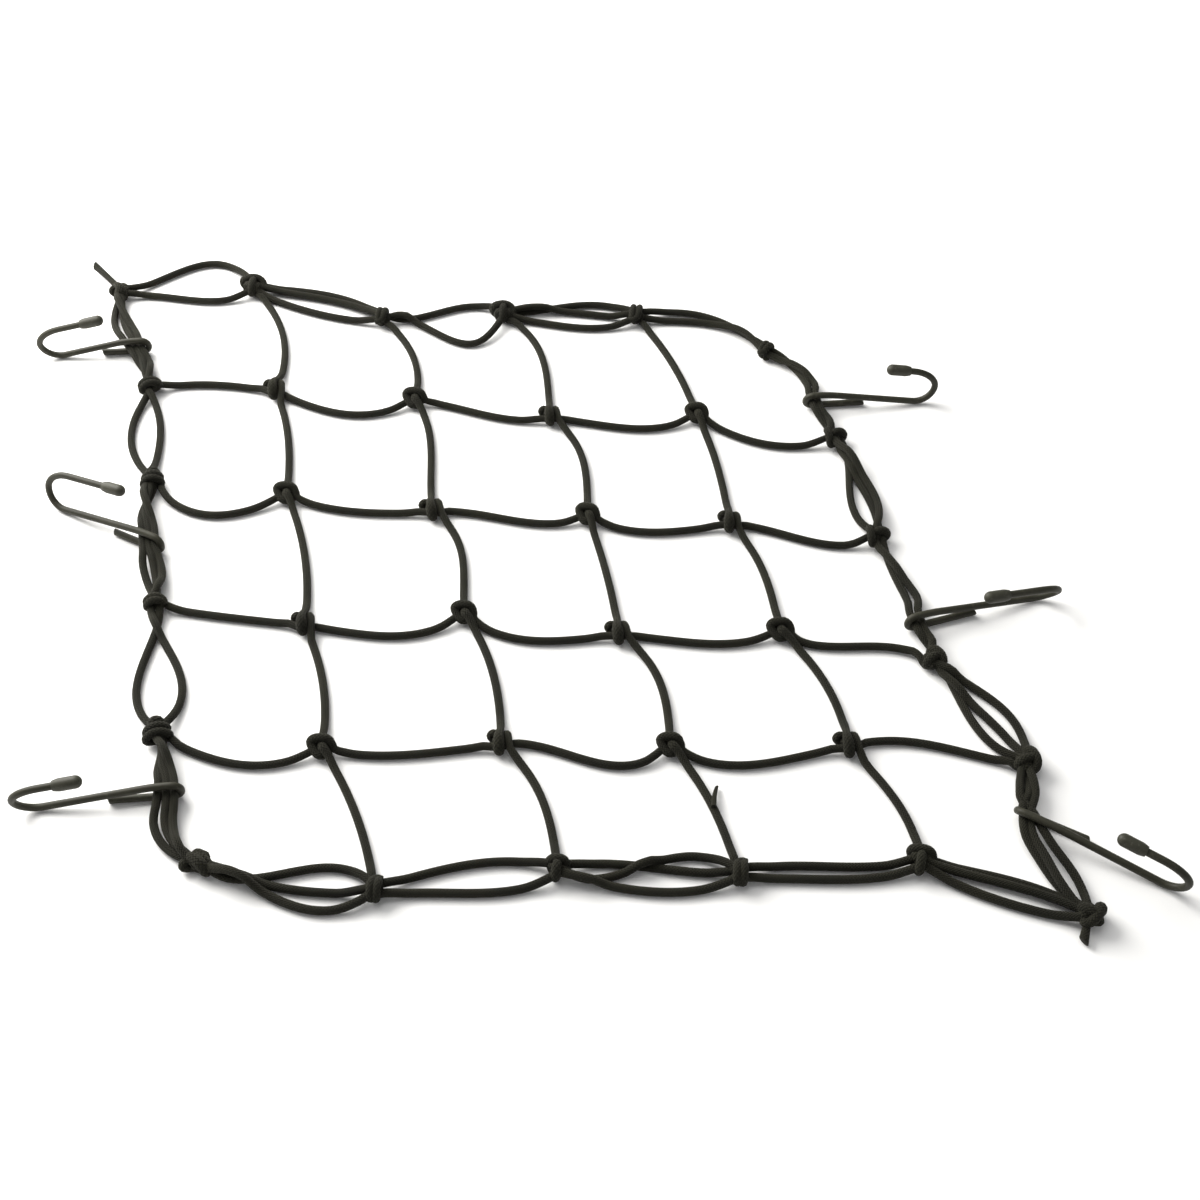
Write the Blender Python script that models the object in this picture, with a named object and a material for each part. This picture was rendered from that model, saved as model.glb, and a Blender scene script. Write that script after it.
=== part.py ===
"""An elastic cargo net with six wire hooks, laid out flat on its underside.

Lengths are in metres unless a table says millimetres, and +Z is up. The cross cords run along X, the
lengthwise cords lean to the left at the back. The origin is the middle of the whole net, on the surface.
"""

import math
from collections import namedtuple

import bmesh
import bpy
from mathutils import Matrix, Vector

MM = 0.001
GAP = 0.0003  # left between pieces that touch

# The net
CELLS = 5
PITCH_ACROSS = 0.0734  # from knot to knot along a cross cord
PITCH_ALONG = 0.0766  # from knot to knot along a lengthwise cord
LEAN = math.radians(19.9)  # of the lengthwise cords from square to the cross cords
NET_MIDDLE = Vector((-0.00623, -0.00917))  # puts the origin in the middle of net and hooks
CORD = 0.0038  # cord thickness
CORD_SIDES = 5
CORD_STEPS = 5  # straight pieces in a single cord between two knots
STRAND_STEPS = 6  # in a strand of the border
HOOKED_STEPS = 7  # and in one that a hook holds
FAN = 0.0023  # between neighbouring strands where they enter a knot
CROSSING_LIFT = 0.9 * CORD  # of a strand over one that it crosses
CROSSING_WIDTH = 0.75 * CORD  # the lift fades this far to either side

# The knots
KNOT_MIDDLE = 0.0047  # height of a knot's middle above the surface
KNOT_LENGTH = 0.013
KNOT_RADIUS = 0.0056
KNOT_SIDES = 8
KNOT_RISE = 0.016  # the cord climbs to a knot over this length
BORDER_KNOT_SCALE = 1.12
RIDGE_TURN = math.radians(24)  # of each of a knot's two ridges, one against the other

# The rings of points along a knot: place in knot lengths from its middle, thickness in knot radii, and
# turn in ridge turns.
KNOT_RINGS = ((-0.5, 0.45, 0), (-0.27, 1, 1), (0, 0.76, 0), (0.27, 1, -1), (0.5, 0.45, 0))

# The hooks
WIRE = 0.0031
WIRE_SIDES = 8
BEND_RADIUS = 0.0095  # of the J, to the middle of the wire
BEND_CROWN = math.pi / 18  # the J's outermost part, to either side of the middle of its bend
BEND_STRETCH = 1.5  # past it, the bend's free side is drawn out this much
BEND_STEPS = 9
EYE_STEPS = 6
EYE_DEPTH = 0.0039  # from the eye's inner end to where its two limbs run straight
SHANK_OVER = 0.011  # the shank runs level this far out from the eye's inner end
EYE_PLAY = 0.0006  # between the eye and the strands that it holds
HOLD_WIDTH = 0.009  # the strands stay at the eye's height this far to either side of it
HOLD_REACH = 0.023  # a hook holds the strands whose middle is nearer than this to it
TIP_LENGTH = 0.0128
TIP_RADIUS = 0.0029
TIP_MOUTH_RADIUS = 0.0023
TIP_SLEEVE = 0.0045  # from the mouth to where the tip has its full radius
TIP_BORE_DEPTH = 0.0092
TIP_NOSE = 0.0022  # length of its rounded end
TIP_NOSE_RADIUS = 0.0016
TIP_SIDES = 10

CORD_RADIUS = CORD / 2 * 1.085  # to the corners of its few sides, so that it has a round cord's section
CORD_REST = CORD_RADIUS * math.cos(math.pi / CORD_SIDES)  # height of its middle where it rests
FLAT_DOWN = math.pi / CORD_SIDES - math.pi / 2  # turns a cord's section onto one of its sides
LIMB_HEIGHT = WIRE / 2 + 0.0001
BEND_HEIGHT = WIRE / 2 + 0.0003  # of the shank's middle where the J starts
OVER_LIMB = LIMB_HEIGHT + WIRE / 2 + CORD_REST + EYE_PLAY
SHANK_HEIGHT = OVER_LIMB + CORD_RADIUS + WIRE / 2 + EYE_PLAY

# How far each knot has drifted from an even grid, (x, y) in millimetres. A row of knots a line, the back
# edge first, each from the left edge to the right.
KNOT_DRIFT = (
    ((1, 7), (0, 17), (3, -4), (-5, 5), (-5, 9), (-7, -16)),
    ((10, 2), (3, 5), (4, 4), (3, -4), (5, 4), (3, -9)),
    ((3, 4), (-2, 1), (-1, -5), (2, -2), (-1, -2), (-3, -6)),
    ((-2, -5), (-3, -12), (-3, 1), (-3, -6), (-2, 2), (-5, -12)),
    ((-8, -9), (-8, -10), (-3, -2), (-2, 3), (3, 9), (7, 5)),
    ((0, -3), (1, -10), (2, 6), (4, 10), (6, 22), (0, 1)),
)

# The bow of each strand between two knots, in millimetres to the left of its way: (at a third of the way,
# at two thirds). A cord a line and a cell a column. The first and the last cord are the border, with two or
# three strands in a cell.
ACROSS_BOW = (
    (
        ((15, 25), (-3.5, -8.5)),
        ((8, 9.5), (4, 5.5), (-6, -6.5)),
        ((2, 9), (-6.5, -22)),
        ((6.5, 11), (4.5, 2.5), (-6, -9)),
        ((15.5, 14), (8, 11.5)),
    ),
    (((4.5, 4),), ((-10.5, -13),), ((-1.5, -4.5),), ((-5.5, -9),), ((-10, -11),)),
    (((-16.5, -15.5),), ((-5.5, -4.5),), ((-1, -5.5),), ((-8, -6),), ((-2.5, -7),)),
    (((-1, -0.5),), ((-7, -10),), ((-10, -7.5),), ((-4, -6.5),), ((-2.5, 4),)),
    (((-9.5, -11.5),), ((-4.5, -3),), ((-3, -10.5),), ((-10, -6.5),), ((6.5, 3.5),)),
    (
        ((-1.5, 8), (-4, -4), (-6.5, -12.5)),
        ((7, 8.5), (-3.5, -6.5)),
        ((4.5, 2), (-1, 8.5), (-7, -8.5)),
        ((3, 0.5), (-3.5, -5.5)),
        ((4.5, 6), (1.5, 3), (-5, -5)),
    ),
)
ALONG_BOW = (
    (
        ((-8.7, -3), (-3.5, -1), (0.6, 1.2)),
        ((-9, -9.5), (4, 3)),
        ((-6.8, -6.4), (-3.8, -3.2), (-0.8, -1)),
        ((-3.5, -9.5), (4.5, 11)),
        ((-8, -10), (-4.4, -7), (-0.8, -4)),
    ),
    (((9, 9),), ((3.5, 3),), ((4, 4),), ((4, 4),), ((3.5, 3.5),)),
    (((7, 7),), ((4.5, 2),), ((7.5, 5),), ((5, 4.5),), ((6.5, 5.5),)),
    (((10, 7),), ((8, 6),), ((1.5, 1.5),), ((8, 6.5),), ((4, 3.5),)),
    (((3.5, 3.5),), ((2.5, 2),), ((5, 4),), ((5.5, 5.5),), ((4.5, 5.5),)),
    (
        ((8.4, 4.4), (10.2, 9)),
        ((0.5, -5), (2, 4.5), (4.5, 7.5)),
        ((0.4, 2.4), (4, 6.3)),
        ((-2.5, -6), (0, 2), (7.5, 10.5)),
        ((-7.8, -8.6), (-5.2, -6.4), (-2.8, -3)),
    ),
)

# Free ends that stick out of the net: where each starts, bends and ends, from the net's middle, the height
# that it starts at, its thickness and the slant of its cut. Millimetres, but for the slant.
Tail = namedtuple("Tail", "start bend end height width slant")
TAILS = (
    Tail((-250.5, 184.5), (-261.3, 197), (-268, 208), 4.7, 3.8, 0.6),
    Tail((248.6, -175.5), (247, -184), (245.5, -190.5), 4.7, 3.8, -0.7),
    Tail((94, -137.5), (94.2, -131), (95, -124.5), 2.3, 2, 0.9),
)

# Each hook: its eye's inner end, from the net's middle, the way that it points, how far it reaches to the J's
# bend, the length of its free limb and of the limb that is bent back under the border; the lean of the J
# (0 lies towards the back, 90 stands up) and how far the bent-back limb slips to the back. Millimetres and
# degrees.
Hook = namedtuple("Hook", "name eye_x eye_y heading reach limb held lean slip")
HOOKS = (
    Hook("left_1", -220.4, 140.1, 187.4, 54.6, 26.4, 25.5, 98, 1.3),
    Hook("left_2", -177.7, -5.2, 156.7, 69.4, 36.8, 29, 71, -0.5),
    Hook("left_3", -134.2, -148, 190, 68.5, 20.7, 31.9, 104, 0.9),
    Hook("right_1", 132.5, 123.1, 9.7, 66.2, 15.3, 30.6, 87, 1.9),
    Hook("right_2", 180.2, -27.6, 22.3, 72.3, 30.2, 34.6, 121, 0.6),
    Hook("right_3", 221.8, -132.7, -24.4, 73.2, 20.7, 31.5, 101, 5.9),
)


def clear_scene():
    for old in list(bpy.data.objects):
        bpy.data.objects.remove(old, do_unlink=True)


def finish(name, color, roughness, metallic=0.0):
    """A plain finish for one kind of piece."""
    material = bpy.data.materials.new(name)
    material.use_nodes = True
    shader = material.node_tree.nodes["Principled BSDF"]
    shader.inputs["Base Color"].default_value = (*color, 1.0)
    shader.inputs["Roughness"].default_value = roughness
    shader.inputs["Metallic"].default_value = metallic
    return material


def solid(name, shape, material, guide=False):
    """An object of its own from a closed bmesh. A guide isn't seen in a render."""
    bmesh.ops.recalc_face_normals(shape, faces=shape.faces[:])
    mesh = bpy.data.meshes.new(name)
    shape.to_mesh(mesh)
    shape.free()
    mesh.shade_smooth()
    mesh.set_sharp_from_angle(angle=math.radians(50))
    mesh.materials.append(material)
    made = bpy.data.objects.new(name, mesh)
    made.hide_render = guide
    if guide:
        made.display_type = "WIRE"
    return made


def ring(shape, middle, side, normal, radius, sides, turn=0.0):
    """A ring of points round middle, in the plane of side and normal."""
    points = []
    for step in range(sides):
        angle = math.tau * step / sides + turn
        points.append(shape.verts.new(middle + radius * (math.cos(angle) * side + math.sin(angle) * normal)))
    return points


def skin(shape, rings):
    """Faces from ring to ring, and one across each end."""
    for near, far in zip(rings, rings[1:]):
        for index in range(len(near)):
            following = (index + 1) % len(near)
            shape.faces.new((near[index], near[following], far[following], far[index]))
    shape.faces.new(list(reversed(rings[0])))
    shape.faces.new(rings[-1])


def ways(route):
    """The direction of a route at each of its points."""
    last = len(route) - 1
    return [(route[min(i + 1, last)] - route[max(i - 1, 0)]).normalized() for i in range(last + 1)]


def smooth_step(value):
    value = min(1.0, max(0.0, value))
    return value * value * (3 - 2 * value)


def hump(distance, width):
    """1 in the middle of something that a cord passes over, and soon 0 beside it."""
    return 1 / (1 + (distance / width) ** 4)


def knot_place(row, column):
    """Plan position of a knot. Row 0 is the back edge and column 0 the left edge."""
    along = (CELLS / 2 - row) * PITCH_ALONG
    drift_x, drift_y = KNOT_DRIFT[row][column]
    return NET_MIDDLE + Vector((
        (column - CELLS / 2) * PITCH_ACROSS - along * math.sin(LEAN) + drift_x * MM,
        along * math.cos(LEAN) + drift_y * MM,
    ))


def runs():
    """Each stretch from a knot to the next: its name, its two ends and the bows of its strands."""
    for row, cells in enumerate(ACROSS_BOW):
        for column, bows in enumerate(cells):
            yield f"across_{row}_{column}", knot_place(row, column), knot_place(row, column + 1), bows
    for column, cells in enumerate(ALONG_BOW):
        for row, bows in enumerate(cells):
            yield f"along_{column}_{row}", knot_place(row, column), knot_place(row + 1, column), bows


def hook_axes(hook):
    """The way a hook points, and the level direction across it that leads to the back."""
    heading = math.radians(hook.heading)
    out = Vector((math.cos(heading), math.sin(heading), 0))
    back = Vector((-out.y, out.x, 0))
    return out, back if back.y > 0 else -back


def hook_point(hook, out_by, back_by, height):
    out, back = hook_axes(hook)
    eye = NET_MIDDLE + Vector((hook.eye_x, hook.eye_y)) * MM
    return Vector((*eye, height)) + out * out_by + back * back_by


def limb_ends(hook):
    """The two ends of the limb that a hook has under the border strands."""
    slip = hook.slip * MM
    return hook_point(hook, EYE_DEPTH, slip, LIMB_HEIGHT), hook_point(hook, hook.held * MM, slip, LIMB_HEIGHT)


def distance_to_limb(point, hook):
    """How far a plan point is from the limb of a hook."""
    start, end = (Vector(p[:2]) for p in limb_ends(hook))
    along = end - start
    share = min(1.0, max(0.0, (point - start).dot(along) / along.length_squared))
    return (point - start - along * share).length


def bow_at(share, start, third, two_thirds, end):
    """The smooth curve through four offsets, at 0, 1/3, 2/3 and all of the way."""
    a, b, c, d = share, share - 1 / 3, share - 2 / 3, share - 1
    return 4.5 * (end * a - start * d) * b * c + 13.5 * (third * c - two_thirds * b) * a * d


def strand_route(start, end, bow, enter, steps, below):
    """Points along one strand. It rises to its knots, and over hooks and over the strands below it."""
    way = (end - start).normalized()
    left = Vector((-way.y, way.x))
    length = (end - start).length
    points = []
    for step in range(steps + 1):
        share = step / steps
        offset = bow_at(share, enter, bow[0] * MM, bow[1] * MM, enter)
        plan = start + way * (share * length) + left * offset
        from_knot = min(share, 1 - share) * length
        height = CORD_REST + (KNOT_MIDDLE - CORD_REST) * smooth_step(1 - from_knot / KNOT_RISE)
        hooked = max(hump(distance_to_limb(plan, hook), HOLD_WIDTH) for hook in HOOKS)
        for other in below:
            nearest = min(other, key=lambda point: (Vector(point[:2]) - plan).length)
            apart = (Vector(nearest[:2]) - plan).length
            free = smooth_step(from_knot / KNOT_RISE) * (1 - hooked)
            over = nearest.z + CROSSING_LIFT * free
            height += max(0.0, over - height) * hump(apart, CROSSING_WIDTH)
        points.append(Vector((*plan, height + (OVER_LIMB - height) * hooked)))
    return points


def finer(route, steps):
    """The same route with more points, for measuring how near it passes."""
    count = len(route) - 1
    found = []
    for step in range(steps + 1):
        place = step / steps * count
        index = min(int(place), count - 1)
        found.append(route[index].lerp(route[index + 1], place - index))
    return found


def cord_shape(route, radius, slant=0.0):
    """A closed cord with a flat underside along a route. Its far end may be cut at a slant."""
    shape = bmesh.new()
    rings = []
    for point, way in zip(route, ways(route)):
        side = way.cross(Vector((0, 0, 1))).normalized()
        normal = side.cross(way)
        rings.append(ring(shape, point, side, normal, radius, CORD_SIDES, FLAT_DOWN))
    way = ways(route)[-1]
    side = way.cross(Vector((0, 0, 1))).normalized()
    for vertex in rings[-1]:
        vertex.co += way * slant * (vertex.co - route[-1]).dot(side)
    skin(shape, rings)
    return shape


def net_strands():
    """A closed shape for each strand between two knots."""
    for name, start, end, bows in runs():
        below = []
        steps = CORD_STEPS if len(bows) == 1 else STRAND_STEPS
        if any(distance_to_limb((start + end) / 2, hook) < HOLD_REACH for hook in HOOKS):
            steps = HOOKED_STEPS
        for number, bow in enumerate(bows):
            enter = (len(bows) - 1 - 2 * number) / 2 * FAN
            route = strand_route(start, end, bow, enter, steps, below)
            below.append(finer(route, 4 * steps))
            yield f"{name}_{number}", cord_shape(route, CORD_RADIUS)


def knot_shape(row, column):
    """A knot as two raised turns of cord round its neighbours, flat where it rests."""
    border = row in (0, CELLS) or column in (0, CELLS)
    scale = BORDER_KNOT_SCALE if border else 1.0
    if row in (0, CELLS):
        way = knot_place(row, min(column + 1, CELLS)) - knot_place(row, max(column - 1, 0))
    else:
        way = knot_place(row + 1, column) - knot_place(row - 1, column)
    way = Vector((*way.normalized(), 0))
    side = way.cross(Vector((0, 0, 1)))
    middle = Vector((*knot_place(row, column), KNOT_MIDDLE))
    shape = bmesh.new()
    rings = []
    for place, thick, turned in KNOT_RINGS:
        turn = Matrix.Rotation(turned * RIDGE_TURN, 3, "Z")
        rings.append(ring(
            shape,
            middle + way * place * KNOT_LENGTH * scale,
            turn @ side,
            Vector((0, 0, 1)),
            thick * KNOT_RADIUS * scale,
            KNOT_SIDES,
            math.pi / KNOT_SIDES,
        ))
    skin(shape, rings)
    for vertex in shape.verts:
        vertex.co.z = max(0.0, vertex.co.z)
    return shape


def build_net(material):
    """Strands, knots and free ends joined into one solid."""
    pieces = bpy.data.collections.new("net pieces")
    bpy.context.scene.collection.children.link(pieces)
    for name, shape in net_strands():
        pieces.objects.link(solid(name, shape, material, guide=True))
    for number, tail in enumerate(TAILS):
        radius = tail.width * MM / 2
        heights = (tail.height * MM, (tail.height * MM + radius) / 2, radius)
        places = (NET_MIDDLE + Vector(place) * MM for place in (tail.start, tail.bend, tail.end))
        route = [Vector((*place, height)) for place, height in zip(places, heights)]
        shape = cord_shape(route, radius, tail.slant)
        pieces.objects.link(solid(f"tail_{number}", shape, material, guide=True))
    knots = [(row, column) for row in range(CELLS + 1) for column in range(CELLS + 1)]
    for row, column in knots[1:]:
        shape = knot_shape(row, column)
        pieces.objects.link(solid(f"knot_{row}_{column}", shape, material, guide=True))
    net = solid("net", knot_shape(*knots[0]), material)
    bpy.context.scene.collection.objects.link(net)
    joined = net.modifiers.new("join the cords", "BOOLEAN")
    joined.operation = "UNION"
    joined.operand_type = "COLLECTION"
    joined.collection = pieces
    joined.solver = "EXACT"


def hook_frame(hook):
    """Where the J's bend starts, the way that the shank points there, and the way that the J opens."""
    start = hook_point(hook, hook.reach * MM - BEND_RADIUS, 0, BEND_HEIGHT)
    way = (start - hook_point(hook, SHANK_OVER, 0, SHANK_HEIGHT)).normalized()
    back = hook_axes(hook)[1]
    up = way.cross(back) if way.cross(back).z > 0 else back.cross(way)
    lean = math.radians(hook.lean)
    return start, way, math.cos(lean) * back + math.sin(lean) * up


def hook_route(hook):
    """The middle line of a hook's wire, from the end of its J to the end of the limb under the border."""
    start, way, rise = hook_frame(hook)
    route = [start + rise * 2 * BEND_RADIUS - way * hook.limb * MM]
    for step in range(BEND_STEPS + 1):
        angle = math.pi * (1 - step / BEND_STEPS)
        out_by = math.sin(angle)
        if angle > math.pi / 2 + BEND_CROWN:
            out_by = math.cos(BEND_CROWN) - (math.cos(BEND_CROWN) - out_by) * BEND_STRETCH
        route.append(start + BEND_RADIUS * (out_by * way + (1 - math.cos(angle)) * rise))
    route.append(hook_point(hook, SHANK_OVER, 0, SHANK_HEIGHT))
    half = (SHANK_HEIGHT - LIMB_HEIGHT) / 2
    for step in range(EYE_STEPS + 1):
        angle = math.pi * step / EYE_STEPS
        back_by = hook.slip * MM * (1 - math.cos(angle)) / 2
        height = LIMB_HEIGHT + half * (1 + math.cos(angle))
        route.append(hook_point(hook, EYE_DEPTH * (1 - math.sin(angle)), back_by, height))
    route.append(limb_ends(hook)[1])
    return route


def build_hook(hook, material):
    shape = bmesh.new()
    rings = []
    route = hook_route(hook)
    _, way, rise = hook_frame(hook)
    flat = way.cross(rise).normalized()  # square to the plane of the J
    for point, along in zip(route, ways(route)):
        flat = (flat - along * flat.dot(along)).normalized()
        rings.append(ring(shape, point, flat, along.cross(flat), WIRE / 2, WIRE_SIDES, math.pi / WIRE_SIDES))
    skin(shape, rings)
    bpy.context.scene.collection.objects.link(solid(f"hook_{hook.name}", shape, material))


def build_tip(hook, material):
    """A rubber cap, open at its mouth, pushed over the end of the wire."""
    bore = WIRE / 2 + GAP
    # distance from the mouth, and radius, from the bottom of the bore out to the rounded end
    profile = (
        (TIP_BORE_DEPTH, 0), (TIP_BORE_DEPTH, bore), (0, bore), (0, TIP_MOUTH_RADIUS),
        (TIP_SLEEVE, TIP_RADIUS), (TIP_LENGTH - TIP_NOSE, TIP_RADIUS),
        (TIP_LENGTH - TIP_NOSE / 4, TIP_NOSE_RADIUS), (TIP_LENGTH, 0),
    )
    shape = bmesh.new()
    line = [shape.verts.new((radius, 0, place)) for place, radius in profile]
    edges = [shape.edges.new(pair) for pair in zip(line, line[1:])]
    bmesh.ops.spin(
        shape, geom=line + edges, axis=(0, 0, 1), cent=(0, 0, 0), dvec=(0, 0, 0),
        angle=math.tau, steps=TIP_SIDES, use_merge=True,
    )
    bmesh.ops.remove_doubles(shape, verts=shape.verts[:], dist=1e-6)
    start, way, rise = hook_frame(hook)
    tip_end = start + rise * 2 * BEND_RADIUS - way * hook.limb * MM
    mouth = tip_end + way * (TIP_BORE_DEPTH - GAP)
    turned = Matrix((way.cross(rise), rise, -way)).transposed().to_4x4()
    made = solid(f"tip_{hook.name}", shape, material)
    made.matrix_world = Matrix.Translation(mouth) @ turned
    bpy.context.scene.collection.objects.link(made)


def main():
    clear_scene()
    cord = finish("braided cord", (0.022, 0.020, 0.014), 0.85)
    wire = finish("coated wire", (0.045, 0.044, 0.036), 0.42)
    rubber = finish("tip rubber", (0.095, 0.1, 0.08), 0.7)
    build_net(cord)
    for hook in HOOKS:
        build_hook(hook, wire)
        build_tip(hook, rubber)


main()
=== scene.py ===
import math
import random

import bmesh
import bpy
import numpy as np
from mathutils import Matrix, Vector


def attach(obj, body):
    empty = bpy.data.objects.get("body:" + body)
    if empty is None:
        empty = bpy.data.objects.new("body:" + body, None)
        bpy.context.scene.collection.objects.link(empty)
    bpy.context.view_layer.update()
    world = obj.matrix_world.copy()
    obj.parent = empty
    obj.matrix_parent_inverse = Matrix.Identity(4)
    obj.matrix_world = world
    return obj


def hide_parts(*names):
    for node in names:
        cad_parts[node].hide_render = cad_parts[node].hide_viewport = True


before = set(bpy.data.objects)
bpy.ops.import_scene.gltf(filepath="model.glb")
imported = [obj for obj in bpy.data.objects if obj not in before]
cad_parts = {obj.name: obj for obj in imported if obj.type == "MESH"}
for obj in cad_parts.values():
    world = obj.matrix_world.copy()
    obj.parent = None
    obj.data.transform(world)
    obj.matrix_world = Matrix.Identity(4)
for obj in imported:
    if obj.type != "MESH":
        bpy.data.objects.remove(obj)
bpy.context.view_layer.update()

scene = bpy.context.scene
mm = 0.001
up = Vector((0, 0, 1))
weld = 1e-7  # points nearer to each other than this are merged
random.seed(11)

print("stage: camera, floor and lights")

view = {
    "azimuth": 4.52,  # degrees round from the middle of the front edge
    "elevation": 48.0,
    "lens": 54.0,
    "distance": 0.854,
    "clipStart": 0.02,
    "lookAt": (0.02975, -0.02813, 0.0),
}

studio = {
    "floorSize": 8.0,
    "floorDrop": 0.0003,  # keeps the floor just clear of the cords
    "floorTint": (0.97, 0.97, 0.965),
    "floorRoughness": 0.9,
    "worldTint": (1.0, 1.0, 1.0),
    "worldStrength": 0.29,
    # each light: place, size across, power and colour
    "lights": {
        "window": ((-0.74, 0.45, 0.6), 0.9, 26.0, (1.0, 0.985, 0.95)),
        "ceiling": ((-0.35, 0.4, 1.85), 1.6, 13.5, (1.0, 0.99, 0.97)),
        "fill": ((1.2, -0.7, 1.0), 1.2, 1.5, (0.96, 0.97, 1.0)),
    },
}


def addCamera():
    azimuth, elevation = math.radians(view["azimuth"]), math.radians(view["elevation"])
    back = Vector((
        math.sin(azimuth) * math.cos(elevation),
        -math.cos(azimuth) * math.cos(elevation),
        math.sin(elevation),
    ))
    lens = bpy.data.cameras.new("camera")
    lens.lens = view["lens"]
    lens.clip_start = view["clipStart"]
    made = bpy.data.objects.new("camera", lens)
    made.location = Vector(view["lookAt"]) + back * view["distance"]
    made.rotation_euler = back.to_track_quat("Z", "Y").to_euler()
    scene.collection.objects.link(made)
    scene.camera = made


def addStudio():
    shape = bmesh.new()
    bmesh.ops.create_grid(shape, x_segments=1, y_segments=1, size=studio["floorSize"] / 2)
    bmesh.ops.translate(shape, verts=shape.verts[:], vec=(0, 0, -studio["floorDrop"]))
    mesh = bpy.data.meshes.new("floor")
    shape.to_mesh(mesh)
    shape.free()
    paint = bpy.data.materials.new("floorPaint")
    paint.use_nodes = True
    shader = paint.node_tree.nodes["Principled BSDF"]
    shader.inputs["Base Color"].default_value = (*studio["floorTint"], 1)
    shader.inputs["Roughness"].default_value = studio["floorRoughness"]
    mesh.materials.append(paint)
    floor = bpy.data.objects.new("floor", mesh)
    scene.collection.objects.link(floor)

    world = bpy.data.worlds.new("studio")
    world.use_nodes = True
    background = world.node_tree.nodes["Background"]
    background.inputs["Color"].default_value = (*studio["worldTint"], 1)
    background.inputs["Strength"].default_value = studio["worldStrength"]
    scene.world = world
    scene.view_settings.view_transform = "Standard"

    for name, (place, size, power, tint) in studio["lights"].items():
        lamp = bpy.data.lights.new(name, "AREA")
        lamp.size = size
        lamp.energy = power
        lamp.color = tint
        made = bpy.data.objects.new(name, lamp)
        made.location = place
        made.rotation_euler = Vector(place).to_track_quat("Z", "Y").to_euler()
        scene.collection.objects.link(made)


addCamera()
addStudio()

print("stage: materials")


def addNode(tree, kind, inputs=(), **settings):
    # a node with its settings, and with its inputs either linked or set
    node = tree.nodes.new(kind)
    for name, value in settings.items():
        setattr(node, name, value)
    for name, value in dict(inputs).items():
        if isinstance(value, bpy.types.NodeSocket):
            tree.links.new(value, node.inputs[name])
        else:
            node.inputs[name].default_value = value
    return node


def reckon(tree, operation, first, second=0.0, third=0.0):
    # a Math node; its three inputs share one name, so they go by number
    return addNode(tree, "ShaderNodeMath", {0: first, 1: second, 2: third}, operation=operation).outputs[0]


def newGroup(name, inputs, outputs):
    group = bpy.data.node_groups.new(name, "ShaderNodeTree")
    for label, kind in inputs.items():
        group.interface.new_socket(label, in_out="INPUT", socket_type=kind)
    for label in outputs:
        group.interface.new_socket(label, in_out="OUTPUT", socket_type="NodeSocketFloat")
    return group, addNode(group, "NodeGroupInput"), addNode(group, "NodeGroupOutput")


braidShape = {
    "under": 0.55,  # height of a carrier where it dives below another, beside its full height
    "gapShade": (0.42, 0.05),  # heights at which the painted shade in the gap between the carriers starts and is full
}


def makeBraid():
    # a tubular braid: carriers wind both ways round the cord and pass over and under each other
    inputs = {"UV": "NodeSocketVector", "Carriers": "NodeSocketFloat", "Pitch": "NodeSocketFloat"}
    group, given, result = newGroup("braid", inputs, ("Height", "Gap Shade"))
    split = addNode(group, "ShaderNodeSeparateXYZ", {"Vector": given.outputs["UV"]})
    along = reckon(group, "DIVIDE", split.outputs["X"], given.outputs["Pitch"])
    around, carriers = split.outputs["Y"], given.outputs["Carriers"]
    right = reckon(group, "MULTIPLY", reckon(group, "ADD", around, along), carriers)
    left = reckon(group, "MULTIPLY", reckon(group, "SUBTRACT", around, along), carriers)

    def crown(phase):
        # the rounded height across one carrier
        wave = reckon(group, "MULTIPLY", reckon(group, "PINGPONG", phase, 0.5), 2.0)
        return reckon(group, "MULTIPLY", wave, reckon(group, "SUBTRACT", 2.0, wave))

    def over(across, lengthwise):
        # the height of a carrier, which dives below the others and comes up again
        under = braidShape["under"]
        rise = reckon(group, "MULTIPLY_ADD", crown(lengthwise), 1 - under, under)
        return reckon(group, "MULTIPLY", crown(across), rise)

    count = reckon(group, "ADD", reckon(group, "FLOOR", right), reckon(group, "FLOOR", left))
    which = reckon(group, "MULTIPLY", reckon(group, "FRACT", reckon(group, "MULTIPLY", count, 0.5)), 2.0)
    first = reckon(group, "MULTIPLY", over(right, left), reckon(group, "SUBTRACT", 1.0, which))
    second = reckon(group, "MULTIPLY", over(left, right), which)
    height = reckon(group, "ADD", first, second)
    group.links.new(height, result.inputs["Height"])
    # the second output masks the painted shade in the gaps between the carriers
    starts, full = braidShape["gapShade"]
    gapShade = addNode(group, "ShaderNodeMapRange", {"Value": height, "From Min": starts, "From Max": full})
    group.links.new(gapShade.outputs["Result"], result.inputs["Gap Shade"])
    return group


handlingShape = {
    # detail and roughness of each noise
    "broad": (3.0, 0.55),
    "scuff": (5.0, 0.65),
    "grain": (2.0, 0.5),
    "scuffed": (0.56, 0.72),  # heights of the noise at which a scuff starts and is full
}


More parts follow.
